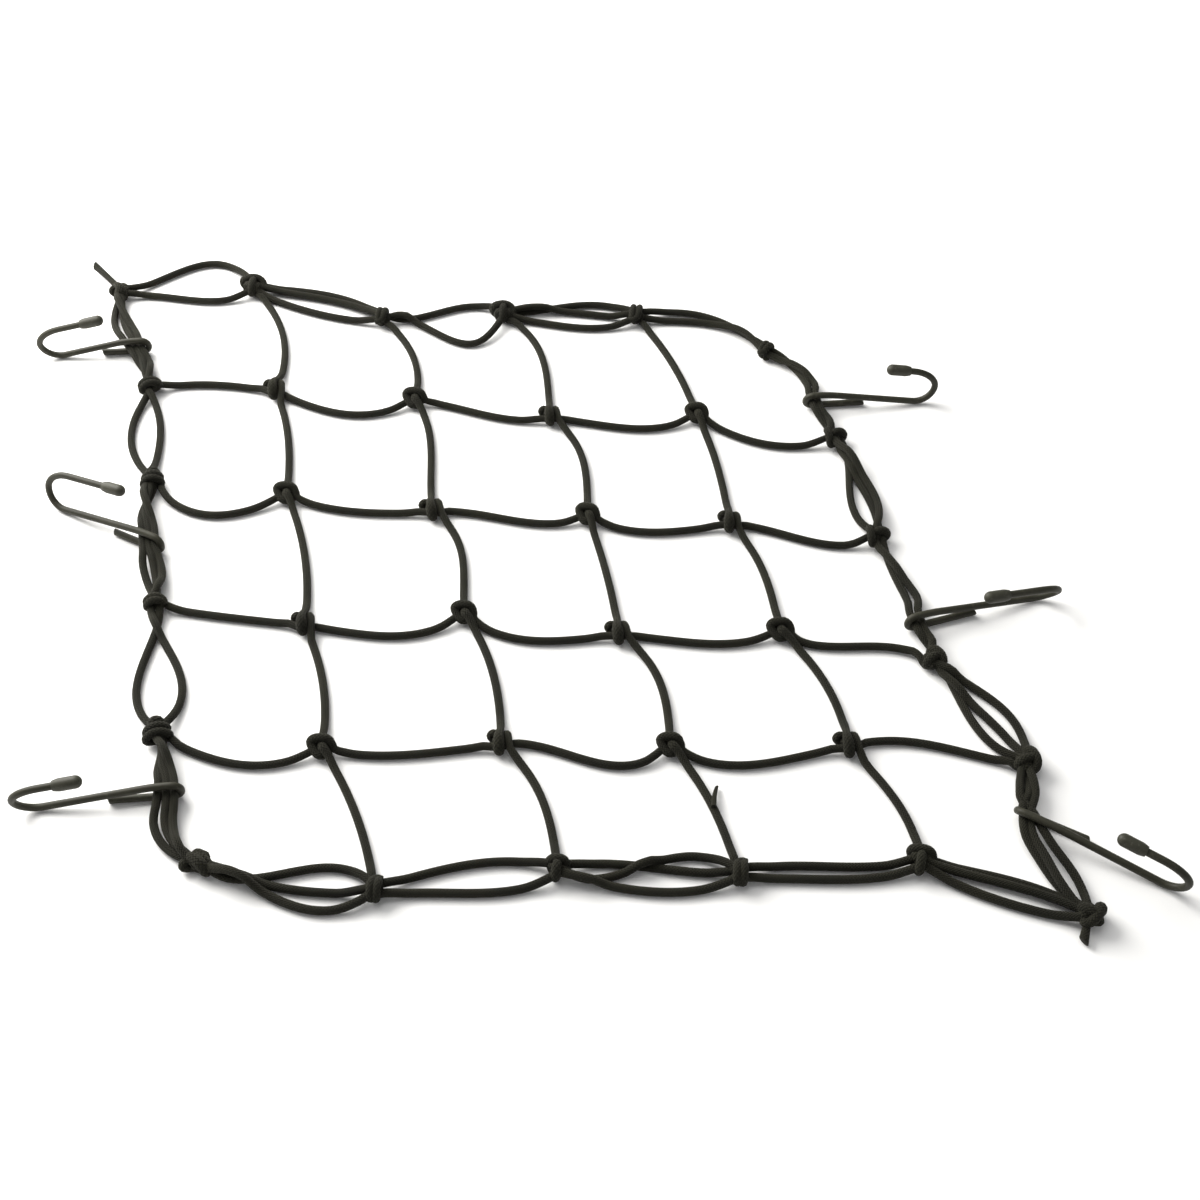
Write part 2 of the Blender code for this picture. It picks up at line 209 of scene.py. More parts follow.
def makeHandling():
    # broad dull and shiny areas, small scuffs and a fine grain
    inputs = {"Vector": "NodeSocketVector"}
    for label in ("Broad Scale", "Scuff Scale", "Grain Scale"):
        inputs[label] = "NodeSocketFloat"
    group, given, result = newGroup("handling", inputs, ("Broad", "Scuffs", "Grain"))

    def noise(scale, detail, roughness):
        return addNode(group, "ShaderNodeTexNoise", {
            "Vector": given.outputs["Vector"], "Scale": given.outputs[scale],
            "Detail": detail, "Roughness": roughness,
        }).outputs["Fac"]

    group.links.new(noise("Broad Scale", *handlingShape["broad"]), result.inputs["Broad"])
    starts, full = handlingShape["scuffed"]
    scuffs = addNode(group, "ShaderNodeMapRange", {
        "Value": noise("Scuff Scale", *handlingShape["scuff"]), "From Min": starts, "From Max": full,
    })
    group.links.new(scuffs.outputs["Result"], result.inputs["Scuffs"])
    group.links.new(noise("Grain Scale", *handlingShape["grain"]), result.inputs["Grain"])
    return group


braid = makeBraid()
handling = makeHandling()

cordFinish = {
    "dark": (0.0044, 0.0042, 0.0018, 1),
    "light": (0.0272, 0.026, 0.0122, 1),
    # painted shade: the near-black colour painted into the gaps between the carriers
    "gapShade": (0.003, 0.003, 0.002, 1),
    "gapShadeShare": 0.55,
    "carriers": 9.0,  # going each way round
    "pitch": 0.0125,
    "scales": (28.0, 700.0, 5200.0),  # of the broad areas, the scuffs and the grain
    # how light the cord gets: a share and an offset for the broad areas, and for the braid's height, which
    # paints a highlight on the crowns and shade in the hollows
    "faded": (0.9, -0.12),
    "crownHighlight": (0.75, 0.25),
    "scuffs": 0.16,
    "roughness": (0.78, 0.95),
    "specular": 0.25,
    "sheen": 0.08,
    "sheenRoughness": 0.4,
    "sheenTint": (0.64, 0.62, 0.5, 1),
    "bump": 0.00045,
    "grainRelief": 0.3,  # beside the braid's
}
wireFinish = {
    "dark": (0.017, 0.0165, 0.0105, 1),
    "light": (0.046, 0.0445, 0.031, 1),
    "scuffed": (0.085, 0.082, 0.06, 1),
    "scales": (55.0, 420.0, 1500.0),
    "roughness": (0.42, 0.6),
    "specular": 0.2,
    "bump": 0.00003,
}
rubberFinish = {
    "dark": (0.026, 0.0255, 0.0175, 1),
    "light": (0.055, 0.054, 0.039, 1),
    "scuffed": (0.1, 0.098, 0.078, 1),
    "scales": (90.0, 520.0, 2600.0),
    "roughness": (0.4, 0.6),
    "specular": 0.25,
    "bump": 0.00007,
}
# what the wire's coating and the rubber have in common
hardWear = {
    "scuffTint": 0.5,
    "scuffDulling": 0.5,
    "grainRelief": 0.5,
    "scuffRelief": -0.7,
}


def newFinish(name):
    finish = bpy.data.materials.new(name)
    finish.use_nodes = True
    tree = finish.node_tree
    return finish, tree, tree.nodes["Principled BSDF"], addNode(tree, "ShaderNodeTexCoord")


def addHandling(tree, place, broad, scuff, grain):
    return addNode(tree, "ShaderNodeGroup", {
        "Vector": place, "Broad Scale": broad, "Scuff Scale": scuff, "Grain Scale": grain,
    }, node_tree=handling)


def blendTints(tree, share, first, second):
    # a Mix node's sockets for colours go by number, because its other sockets have the same names
    return addNode(tree, "ShaderNodeMix", {0: share, 6: first, 7: second}, data_type="RGBA").outputs[2]


def addRelief(tree, shader, heights, depth):
    # heights are pairs of a height and its share in the relief
    total = None
    for height, share in heights:
        part = reckon(tree, "MULTIPLY", height, share)
        total = part if total is None else reckon(tree, "ADD", total, part)
    bump = addNode(tree, "ShaderNodeBump", {"Height": total, "Distance": depth, "Strength": 1.0})
    tree.links.new(bump.outputs["Normal"], shader.inputs["Normal"])


def setRoughness(tree, shader, share, limits):
    low, high = limits
    spread = addNode(tree, "ShaderNodeMapRange", {"Value": share, "To Min": low, "To Max": high})
    tree.links.new(spread.outputs["Result"], shader.inputs["Roughness"])


def makeCordFinish():
    finish, tree, shader, places = newFinish("braidedCord")
    weave = addNode(tree, "ShaderNodeGroup", {
        "UV": places.outputs["UV"], "Carriers": cordFinish["carriers"], "Pitch": cordFinish["pitch"],
    }, node_tree=braid)
    height = weave.outputs["Height"]
    wear = addHandling(tree, places.outputs["Object"], *cordFinish["scales"])
    # the cord is faded in broad areas and scuffed; the braid's crowns are painted lighter and its hollows
    # darker, a painted highlight and shade; the gaps are painted black, a painted shade
    faded = reckon(tree, "MULTIPLY_ADD", wear.outputs["Broad"], *cordFinish["faded"])
    # painted highlight and shade: the tint follows the braid's height
    share = reckon(tree, "MULTIPLY", faded, reckon(tree, "MULTIPLY_ADD", height, *cordFinish["crownHighlight"]))
    scuffs = reckon(tree, "MULTIPLY", wear.outputs["Scuffs"], cordFinish["scuffs"])
    tint = blendTints(tree, reckon(tree, "ADD", share, scuffs), cordFinish["dark"], cordFinish["light"])
    # painted shade: the gaps between the carriers are darkened towards black
    gapShade = reckon(tree, "MULTIPLY", weave.outputs["Gap Shade"], cordFinish["gapShadeShare"])
    tint = blendTints(tree, gapShade, tint, cordFinish["gapShade"])
    tree.links.new(tint, shader.inputs["Base Color"])
    setRoughness(tree, shader, wear.outputs["Grain"], cordFinish["roughness"])
    shader.inputs["Specular IOR Level"].default_value = cordFinish["specular"]
    shader.inputs["Sheen Weight"].default_value = cordFinish["sheen"]
    shader.inputs["Sheen Roughness"].default_value = cordFinish["sheenRoughness"]
    shader.inputs["Sheen Tint"].default_value = cordFinish["sheenTint"]
    heights = ((height, 1.0), (wear.outputs["Grain"], cordFinish["grainRelief"]))
    addRelief(tree, shader, heights, cordFinish["bump"])
    return finish


def makeHardFinish(name, looks):
    finish, tree, shader, places = newFinish(name)
    wear = addHandling(tree, places.outputs["Object"], *looks["scales"])
    broad, scuffs, grain = (wear.outputs[label] for label in ("Broad", "Scuffs", "Grain"))
    tint = blendTints(tree, broad, looks["dark"], looks["light"])
    tint = blendTints(tree, reckon(tree, "MULTIPLY", scuffs, hardWear["scuffTint"]), tint, looks["scuffed"])
    tree.links.new(tint, shader.inputs["Base Color"])
    dull = reckon(tree, "MULTIPLY_ADD", scuffs, hardWear["scuffDulling"], broad)
    setRoughness(tree, shader, dull, looks["roughness"])
    shader.inputs["Specular IOR Level"].default_value = looks["specular"]
    heights = ((grain, hardWear["grainRelief"]), (scuffs, hardWear["scuffRelief"]))
    addRelief(tree, shader, heights, looks["bump"])
    return finish


finishes = {
    "cord": makeCordFinish(),
    "wire": makeHardFinish("coatedWire", wireFinish),
    "rubber": makeHardFinish("tipRubber", rubberFinish),
}

print("stage: the route of each cord")

net = {
    "cells": 5,
    "pitchAcross": 0.0734,  # from knot to knot along a cross cord
    "pitchAlong": 0.0766,  # from knot to knot along a lengthwise cord
    "lean": math.radians(19.9),
    "middle": Vector((-0.00623, -0.00917)),  # of the grid of knots, in the frame
    "cord": 0.0038,  # thickness
    "sides": 10,  # of a cord's section
    "cutRounding": 0.0003,  # of the rim of a cut end
    "knotRise": 0.016,  # the cord climbs to a knot over this length
    "knotSizes": (0.96, 1.04),  # no two knots are quite alike: how big they are
    "knotTurn": 0.14,  # and how far they are turned, at most, in radians
    "lift": 0.00345,  # of a strand over one that it crosses
    "liftWidth": 0.00285,  # the lift fades this far to either side
    "holdWidth": 0.009,  # the strands stay at the hook's height this far to either side of it
    "step": 0.0026,  # between two points of a route
    "bendStep": math.radians(17),  # a route turns about this much from one point to the next, at most
    "apart": 0.0031,  # between the middles of two strands pressed together
    "pinned": 0.009,  # the strands are bound together this far from a knot's middle
    "hidden": 0.0022,  # and their ends go on this far inside it
    "layTurns": 50,  # how often the strands are moved apart
    "eyeHalf": 0.003,  # a strand is in a hook's eye this far to either side of the eye's middle
    "eyeReach": 0.003,  # the strands stay this far out from the eye's end
    "eyeSearch": 0.018,  # a hook holds the strands that pass it this near to its eye's end
    "gathered": 0.0034,  # between the middles of two strands that it holds, at most
    "drawnWidth": 0.011,  # the hook draws them in over this length to either side
}
wire = {
    "thickness": 0.0034,
    "bend": 0.0095,  # radius of the J, to the middle of the wire
    "bendCrown": math.radians(10),  # the J's outermost part, to either side of the middle of its bend
    "bendStretch": 1.5,  # past it, the bend's free side is drawn out this much
    "eyeDepth": 0.0039,
    "shankOver": 0.011,  # the shank runs level this far out from the eye's inner end
    "limbHeight": 0.00165,
    "bendHeight": 0.00185,
    "overLimb": 0.0056,  # height of the strands that the eye holds
    "shankHeight": 0.00968,
    "easing": 0.006,  # length of the soft bend between the level and the sloping shank
    "easingSteps": 6,
}

# how far each knot has drifted from an even grid, in millimetres, the back row first
knotDrift = (
    ((1, 7), (0, 17), (3, -4), (-5, 5), (-5, 9), (-7, -16)),
    ((10, 2), (3, 5), (4, 4), (3, -4), (5, 4), (3, -9)),
    ((3, 4), (-2, 1), (-1, -5), (2, -2), (-1, -2), (-3, -6)),
    ((-2, -5), (-3, -12), (-3, 1), (-3, -6), (-2, 2), (-5, -12)),
    ((-8, -9), (-8, -10), (-3, -2), (-2, 3), (3, 9), (7, 5)),
    ((0, -3), (1, -10), (2, 6), (4, 10), (6, 22), (0, 1)),
)

# the bow of each strand between two knots, in millimetres at a third and at two thirds of its way
acrossBow = (
    (
        ((15, 25), (-3.5, -8.5)),
        ((8, 9.5), (4, 5.5), (-6, -6.5)),
        ((2, 9), (-6.5, -22)),
        ((6.5, 11), (4.5, 2.5), (-6, -9)),
        ((15.5, 14), (8, 11.5)),
    ),
    (((4.5, 4),), ((-10.5, -13),), ((-1.5, -4.5),), ((-5.5, -9),), ((-10, -11),)),
    (((-16.5, -15.5),), ((-5.5, -4.5),), ((-1, -5.5),), ((-8, -6),), ((-2.5, -7),)),
    (((-1, -0.5),), ((-7, -10),), ((-10, -7.5),), ((-4, -6.5),), ((-2.5, 4),)),
    (((-9.5, -11.5),), ((-4.5, -3),), ((-3, -10.5),), ((-10, -6.5),), ((6.5, 3.5),)),
    (
        ((-1.5, 8), (-4, -4), (-6.5, -12.5)),
        ((7, 8.5), (-3.5, -6.5)),
        ((4.5, 2), (-1, 8.5), (-7, -8.5)),
        ((3, 0.5), (-3.5, -5.5)),
        ((4.5, 6), (1.5, 3), (-5, -5)),
    ),
)
alongBow = (
    (
        ((-8.7, -3.6), (-3.5, -1), (-0.6, 4.4)),
        ((-9, -9.5), (4, 3)),
        ((-6.8, -6.4), (-3.8, -0.8), (-1.6, 4.2)),
        ((-3.5, -9.5), (4.5, 11)),
        ((-7.4, -13.6), (-4.4, -9.2), (-0.8, -5.6)),
    ),
    (((9, 9),), ((3.5, 3),), ((4, 4),), ((4, 4),), ((3.5, 3.5),)),
    (((7, 7),), ((4.5, 2),), ((7.5, 5),), ((5, 4.5),), ((6.5, 5.5),)),
    (((10, 7),), ((8, 6),), ((1.5, 1.5),), ((8, 6.5),), ((4, 3.5),)),
    (((3.5, 3.5),), ((2.5, 2),), ((5, 4),), ((5.5, 5.5),), ((4.5, 5.5),)),
    (
        ((8.4, 3.8), (10, 10.4)),
        ((0.5, -5), (2, 4.5), (4.5, 7.5)),
        ((0.6, 1.9), (3.2, 8)),
        ((-2.5, -6), (0, 2), (7.5, 10.5)),
        ((-7.8, -9.4), (-4.6, -7.8), (-5.8, 0.8)),
    ),
)

# each hook: its eye's inner end, heading, reach, length of the J's free limb and of the limb under the
# border, lean of the J (90 stands up) and sideways slip of the limb, in millimetres and degrees
hooks = {
    "left_1": (-220.4, 140.1, 187.4, 54.6, 26.4, 25.5, 98, 1.3),
    "left_2": (-177.7, -5.2, 156.7, 69.4, 36.8, 29, 71, -0.5),
    "left_3": (-134.2, -148, 190, 68.5, 20.7, 31.9, 104, 0.9),
    "right_1": (132.5, 123.1, 9.7, 66.2, 15.3, 30.6, 87, 1.9),
    "right_2": (180.2, -27.6, 22.3, 72.3, 30.2, 34.6, 121, 0.6),
    "right_3": (221.8, -132.7, -24.4, 73.2, 20.7, 31.5, 101, 5.9),
}
hookParts = ("eyeX", "eyeY", "heading", "reach", "limb", "held", "lean", "slip")
hooks = {name: dict(zip(hookParts, values)) for name, values in hooks.items()}


def smoothStep(value):
    value = min(1.0, max(0.0, value))
    return value * value * (3 - 2 * value)


def hump(distance, width):
    return 1 / (1 + (distance / width) ** 4)


def leftOf(way):
    return Vector((-way.y, way.x))


def knotPlace(row, column):
    along = (net["cells"] / 2 - row) * net["pitchAlong"]
    driftX, driftY = knotDrift[row][column]
    return net["middle"] + Vector((
        (column - net["cells"] / 2) * net["pitchAcross"] - along * math.sin(net["lean"]) + driftX * mm,
        along * math.cos(net["lean"]) + driftY * mm,
    ))


def hookAxes(hook):
    heading = math.radians(hook["heading"])
    out = Vector((math.cos(heading), math.sin(heading), 0))
    back = Vector((-out.y, out.x, 0))
    return out, back if back.y > 0 else -back


def hookPoint(hook, outBy, backBy, height):
    out, back = hookAxes(hook)
    eye = net["middle"] + Vector((hook["eyeX"], hook["eyeY"])) * mm
    return Vector((*eye, height)) + out * outBy + back * backBy


def limbEnds(hook):
    slip = hook["slip"] * mm
    return (
        hookPoint(hook, wire["eyeDepth"], slip, wire["limbHeight"]),
        hookPoint(hook, hook["held"] * mm, slip, wire["limbHeight"]),
    )


def distanceToLimb(point, hook):
    start, end = (Vector(place[:2]) for place in limbEnds(hook))
    along = end - start
    share = min(1.0, max(0.0, (point - start).dot(along) / along.length_squared))
    return (point - start - along * share).length


def heldShare(plan):
    # 1 where a hook holds the strands, and soon 0 beside it
    return max(hump(distanceToLimb(plan, hook), net["holdWidth"]) for hook in hooks.values())


def bowAt(share, start, third, twoThirds, end):
    # a cubic through its values at both ends, at a third and at two thirds
    a, b, c, d = share, share - 1 / 3, share - 2 / 3, share - 1
    return 4.5 * (end * a - start * d) * b * c + 13.5 * (third * c - twoThirds * b) * a * d


def strandRoute(start, end, bow, enter, knotHeights, below, keepOff=(0.0, 0.0)):
    # one strand from knot to knot: it rises to its knots, over hooks, and over the strands below it
    way = (end - start).normalized()
    length = (end - start).length
    steps = round(length / net["step"])
    rest = net["cord"] / 2
    points = []
    for step in range(steps + 1):
        share = step / steps
        offset = bowAt(share, enter, bow[0] * mm, bow[1] * mm, enter)
        plan = start + way * (share * length) + leftOf(way) * offset
        fromKnot = min(share, 1 - share) * length
        if share * length < keepOff[0] or (1 - share) * length < keepOff[1]:
            continue
        top = knotHeights[0] if share < 0.5 else knotHeights[1]
        height = rest + (top - rest) * smoothStep(1 - fromKnot / net["knotRise"])
        hooked = heldShare(plan)
        for other in below:
            nearest = min(other, key=lambda point: (Vector(point[:2]) - plan).length)
            apart = (Vector(nearest[:2]) - plan).length
            over = nearest.z + net["lift"] * smoothStep(fromKnot / net["knotRise"]) * (1 - hooked)
            height += max(0.0, over - height) * hump(apart, net["liftWidth"])
        points.append(Vector((*plan, height + (wire["overLimb"] - height) * hooked, 1.0)))
    return points


# The knots, in millimetres from a knot's middle: to its right, to its back, and up from the floor, with the
# cord's thickness there beside its own. Inside the net every other knot is stood, where the lengthwise
# cord winds round the cross cord, and the rest are arched, where the cross cord winds. The lengthwise cord
# comes in from the back, the cross cord from the left.
stoodWound = (
    (-0.5, 6.4, 4.9, 0.94),
    (-0.7, 4.2, 6.3, 0.98),
    (-0.8, 1.6, 7.3, 1.16),
    (-0.9, -1.1, 7.3, 1.36),
    (-0.9, -3.2, 6.0, 1.42),
    (-0.8, -4.3, 3.9, 1.34),
    (-0.5, -3.8, 2.4, 1.05),
    (-0.6, -1.6, 1.7, 0.88),
    (-1.6, 1.2, 1.8, 0.88),
    (-3.6, 3.2, 2.2, 1.0),
    (-4.6, 4.2, 3.6, 1.08),
    (-3.3, 4.7, 4.6, 1.04),
    (-0.8, 4.8, 3.3, 0.88),
    (1.4, 4.8, 3.6, 0.9),
    (2.7, 4.1, 4.4, 1.05),
    (3.1, 2.2, 4.9, 1.08),
    (3.4, 0.0, 4.9, 1.02),
    (4.6, -2.4, 4.5, 0.95),
)
stoodPassed = (
    (-3.0, -1.7, 3.1, 0.95),
    (0.2, -1.9, 3.4, 0.92),
    (3.4, -1.0, 2.3, 0.92),
)
archedWound = (
    (-4.6, -1.3, 3.0, 0.96),
    (-2.3, 0.6, 2.5, 0.92),
    (0.5, 0.9, 1.9, 0.88),
    (2.5, -0.7, 2.0, 0.9),
    (2.6, -2.9, 2.6, 1.0),
    (0.9, -4.2, 3.0, 1.08),
    (-1.3, -4.2, 3.1, 1.1),
    (-3.0, -2.7, 3.7, 1.05),
    (-4.0, -0.4, 4.7, 1.06),
    (-4.4, 1.4, 5.7, 1.12),
    (-3.0, 2.0, 6.9, 1.12),
    (-0.6, 1.7, 7.6, 1.12),
    (1.9, 1.2, 7.5, 1.12),
    (3.8, 0.2, 6.4, 1.08),
    (4.7, -1.3, 4.8, 1.0),
    (5.2, -2.6, 3.5, 0.95),
)
archedPassed = (
    (1.1, 4.8, 3.8, 0.95),
    (0.8, 2.0, 4.1, 0.96),
    (0.4, -0.6, 5.2, 1.08),
    (0.5, -2.8, 6.2, 1.16),
    (1.6, -4.8, 5.5, 1.06),
)
# on the border, round its strands, which run from left to right; the back is the inside of the net
banded = (
    (-2.5, 6.4, 3.4, 0.95),
    (-2.3, 3.6, 2.2, 0.9),
    (-1.0, 0.0, 1.75, 0.88),
    (0.8, -3.0, 2.0, 0.9),
    (1.7, -4.5, 3.9, 0.94),
    (1.9, -3.5, 6.4, 0.96),
    (1.9, -1.0, 7.9, 0.98),
    (2.0, 1.6, 7.8, 0.98),
    (1.8, 3.8, 6.2, 0.95),
    (1.4, 4.2, 3.9, 0.9),
    (0.4, 2.2, 1.8, 0.86),
    (-0.5, -2.2, 1.8, 0.86),
    (-1.0, -4.4, 3.7, 0.95),
    (-1.1, -3.5, 6.3, 0.98),
    (-1.0, -0.9, 7.8, 1.0),
    (-0.9, 1.9, 7.6, 1.0),
    (-0.3, 4.0, 6.4, 0.96),
    (1.6, 5.1, 5.6, 0.93),
    (3.3, 5.1, 5.0, 0.84),
)
domed = (
    (-0.4, 7.6, 3.4, 0.95),
    (0.4, 5.2, 2.4, 0.92),
    (1.6, 1.0, 1.8, 0.9),
    (2.4, -3.2, 2.2, 0.92),
    (2.8, -5.0, 3.9, 0.98),
    (2.4, -4.2, 6.1, 1.02),
    (2.0, -1.4, 7.7, 1.04),
    (2.0, 1.6, 7.7, 1.04),
    (2.4, 4.2, 6.0, 1.0),
    (2.2, 4.8, 3.9, 0.95),
    (1.0, 2.4, 1.9, 0.88),
    (-0.2, -2.4, 1.9, 0.88),
    (-0.8, -4.6, 4.0, 0.98),
    (-0.9, -3.4, 6.6, 1.04),
    (-0.9, -0.9, 8.2, 1.08),
    (-0.9, 1.7, 8.1, 1.08),
    (-0.8, 3.9, 6.4, 1.0),
    (-1.4, 4.2, 4.2, 0.9),
    (-2.4, 1.6, 2.4, 0.88),
    (-4.0, -1.6, 3.6, 1.0),
    (-4.8, -1.6, 5.4, 1.16),
    (-4.8, -0.2, 6.7, 1.26),
    (-4.5, 1.3, 6.5, 1.22),
    (-3.7, 2.8, 5.0, 1.0),
)
rounded = (
    (0.2, 7.0, 4.1, 0.95),
    (0.2, 4.9, 4.5, 0.94),
    (0.0, 2.4, 6.4, 0.98),
    (-0.2, -0.4, 8.0, 1.08),
    (-0.3, -3.0, 7.3, 1.14),
    (-0.4, -4.6, 5.2, 1.12),
    (-0.6, -4.4, 3.2, 1.0),
    (-1.5, -2.2, 1.75, 0.88),
    (-2.8, 1.0, 1.75, 0.88),
    (-3.9, 3.2, 2.8, 0.95),
    (-4.2, 3.9, 4.6, 1.04),
    (-3.1, 4.0, 6.4, 1.06),
    (-1.1, 3.8, 7.5, 1.05),
    (1.2, 3.6, 7.6, 1.05),
    (3.2, 3.2, 6.7, 1.04),
    (4.2, 2.0, 5.2, 1.0),
    (3.8, 0.4, 4.4, 0.9),
)
looped = (
    (-2.2, 6.8, 3.4, 0.95),
    (-1.6, 3.8, 2.3, 0.9),
    (-0.6, 0.0, 1.75, 0.88),
    (0.0, -3.2, 2.3, 0.92),
    (0.0, -4.6, 4.2, 0.98),
    (0.0, -3.0, 6.6, 1.02),
    (0.0, -0.4, 7.9, 1.08),
    (-0.1, 2.2, 7.4, 1.14),
    (-0.2, 4.1, 5.4, 1.12),
    (0.0, 4.1, 3.2, 1.0),
    (1.4, 2.0, 1.8, 0.88),
    (3.2, -0.6, 2.1, 1.0),
    (4.6, -1.4, 3.9, 1.28),
    (4.5, -1.9, 5.7, 1.48),
    (2.8, -2.6, 6.9, 1.4),
    (0.4, -3.0, 7.6, 1.2),
    (-2.2, -3.0, 7.1, 1.1),
    (-4.1, -2.0, 5.7, 1.08),
    (-4.7, 0.0, 4.6, 1.02),
    (-3.8, 1.8, 4.2, 0.9),
)
# fills the middle of a knot, as the turns pulled tight do
innerCore = (
    (-3.2, 1.5, 3.7, 0.6),
    (-2.1, 1.2, 4.2, 1.02),
    (0.4, 0.6, 4.4, 1.15),
    (2.2, 0.3, 4.2, 1.0),
    (3.2, 0.0, 3.8, 0.6),
)
edgeCore = (
    (-4.0, 0.9, 4.2, 0.5),
    (-3.2, 1.2, 4.4, 1.08),
    (0.0, 1.4, 4.6, 1.4),
    (3.2, 1.2, 4.4, 1.08),
    (4.0, 0.9, 4.2, 0.5),
)
# for each cord in a knot: its route, how far off the run to it ends, the heights it comes in and leaves at,
# and how far its first and last points turn to face the runs; a knot of the border has one height and turn
knotKinds = {
    "stood": {
        "lengthwise": (stoodWound, 9.5, (6.6, 5.2), (0.8, 0.5), (0.5, 0.2)),
        "across": (stoodPassed, 5.6, (3.3, 2.4), (0.35,), (0.35,)),
    },
    "arched": {
        "lengthwise": (archedPassed, 8.0, (4.9, 5.8), (0.8, 0.3), (0.7, 0.2)),
        "across": (archedWound, 8.0, (3.4, 3.7), (0.7, 0.2), (0.7, 0.3)),
    },
    "banded": (banded, 9.5, 4.6, (0.9, 0.4)),
    "domed": (domed, 10.0, 4.6, (0.9, 0.5)),
    "rounded": (rounded, 9.5, 5.4, (0.9, 0.6, 0.2)),
    "looped": (looped, 9.5, 4.6, (0.9, 0.4)),
    "wound": (stoodWound, 9.5, 4.6, (0.9, 0.4)),
}
# the kind and size of each knot on the border and in the corners
edgeKnots = {
    (0, 0): ("wound", 0.92), (0, 5): ("banded", 0.82), (5, 0): ("wound", 1.12), (5, 5): ("looped", 0.98),
    (0, 1): ("looped", 1.24), (0, 2): ("banded", 1.02), (0, 3): ("looped", 1.18), (0, 4): ("banded", 1.08),
    (5, 1): ("banded", 0.93), (5, 2): ("rounded", 0.86), (5, 3): ("banded", 0.96), (5, 4): ("rounded", 1.06),
    (1, 0): ("banded", 0.98), (2, 0): ("domed", 0.95), (3, 0): ("banded", 0.9), (4, 0): ("domed", 1.1),
    (1, 5): ("rounded", 0.96), (2, 5): ("rounded", 1.0), (3, 5): ("looped", 1.0), (4, 5): ("looped", 1.06),
}
cornerTurns = {(0, 0): math.radians(165), (5, 0): math.radians(90)}  # two corner knots lie turned
coreFill = {"looped": 1.35, "wound": 1.2, "rounded": 1.2}  # how much fatter the core of such a knot is
tuckedEnd = (0.3, 0.8, 4.4, 0.8)  # a corner knot's cord starts and ends here, inside it


def knotAxes(row, column):
    # the knot's own right and back, in plan
    last = net["cells"]
    if row in (0, last) and column in (0, last):
        back = net["middle"] - knotPlace(row, column)
    elif row in (0, last):
        back = leftOf(knotPlace(row, column + 1) - knotPlace(row, column - 1)) * (1 if row == last else -1)
    elif column in (0, last):
        back = leftOf(knotPlace(row + 1, column) - knotPlace(row - 1, column)) * (1 if column == 0 else -1)
    else:
        across = leftOf(knotPlace(row, column + 1) - knotPlace(row, column - 1)).normalized()
        back = across + (knotPlace(row - 1, column) - knotPlace(row + 1, column)).normalized()
    back = back.normalized()
    return Vector((back.y, -back.x)), back


def knotRoute(row, column, figure, grow=1.0, turn=0.0):
    right, back = knotAxes(row, column)
    middle = knotPlace(row, column)
    turned = Matrix.Rotation(turn, 2)
    route = []
    for toRight, toBack, height, thickness in figure:
        plan = middle + turned @ (right * toRight + back * toBack) * grow * mm
        route.append(Vector((*plan, height * mm, thickness)))
    return route


def aimed(route, middle, run, shares):
    # turns the first points of a knot towards the cord that comes in, each by its share
    came, faced = run.xy - middle, route[0].xy - middle
    angle = math.atan2(faced.x * came.y - faced.y * came.x, faced.dot(came))
    for index, share in enumerate(shares):
        plan = middle + Matrix.Rotation(angle * share, 2) @ (route[index].xy - middle)
        route[index] = Vector((*plan, *route[index][2:]))
    return route


def between(points, times, share):
    # centripetal curve from the second of four points to the third
    time = times[1] + share * (times[2] - times[1])

    def mix(first, second, start, end):
        return (first * (times[end] - time) + second * (time - times[start])) / (times[end] - times[start])

    near, middle, far = (mix(points[i], points[i + 1], i, i + 1) for i in range(3))
    return mix(mix(near, middle, 0, 2), mix(middle, far, 1, 3), 1, 2)


def smoothRoute(points):
    # a smooth curve through the points, with more points where it bends
    padded = [2 * points[0] - points[1], *points, 2 * points[-1] - points[-2]]
    route = []
    for index in range(len(points) - 1):
        four = padded[index:index + 4]
        sides = [(far.xyz - near.xyz) for near, far in zip(four, four[1:])]
        times = [0.0]
        for side in sides:
            times.append(times[-1] + max(1e-9, side.length) ** 0.5)
        turned = (sides[0].angle(sides[1], 0) + sides[1].angle(sides[2], 0)) / 2
        count = max(1, round(sides[1].length / net["step"]), round(turned / net["bendStep"]))
        route += [between(four, times, number / count) for number in range(count)]
    return route + [points[-1]]


# the strands of a bundle inside its border knots: offset to the left of their way, and height
bundles = {
    2: ((2.2, 4.2), (-2.2, 4.2)),
    3: ((1.8, 3.9), (0.0, 5.5), (-1.8, 3.9)),
}
tails = {
    # the places where each starts, bends and ends, from the net's middle, and its thickness and slant
    "back_left": ((-249, 187.8, 5.6), (-259.4, 198.9, 5.2), (-268.6, 208.4, 4.4), (0.95, 0.92, 1.12), 0.9),
    "front_right": ((248.6, -175.5, 4.9), (247, -184, 3.4), (245.5, -190.5, 2.1), (1, 0.9, 1.12), -0.7),
    "front": ((94, -137.5, 4.4), (94.2, -131, 3.2), (95, -124.5, 1.3), (0.6, 0.55, 0.4), 0.9),
}


def extended(route, by):
    # the route with a little more at both ends, which lies hidden in the knots
    first, last = route[0] - route[1], route[-1] - route[-2]
    return [route[0] + first * (by / first.xyz.length), *route, route[-1] + last * (by / last.xyz.length)]


def handTied(spot):
    # how big the knot at a spot is, and how far it is turned
    size = edgeKnots[spot][1] if spot in edgeKnots else 1.0
    size *= random.uniform(*net["knotSizes"])
    return size, random.uniform(-net["knotTurn"], net["knotTurn"]) + cornerTurns.get(spot, 0.0)


def fromEye(line, hook):
    # the way out of a hook's eye, and how far out and to the back of it each point of a strand lies
    out, back = (np.array(axis) for axis in hookAxes(hook))
    places = line - np.array(hookPoint(hook, 0, 0, 0))
    return out, places @ out, places @ back


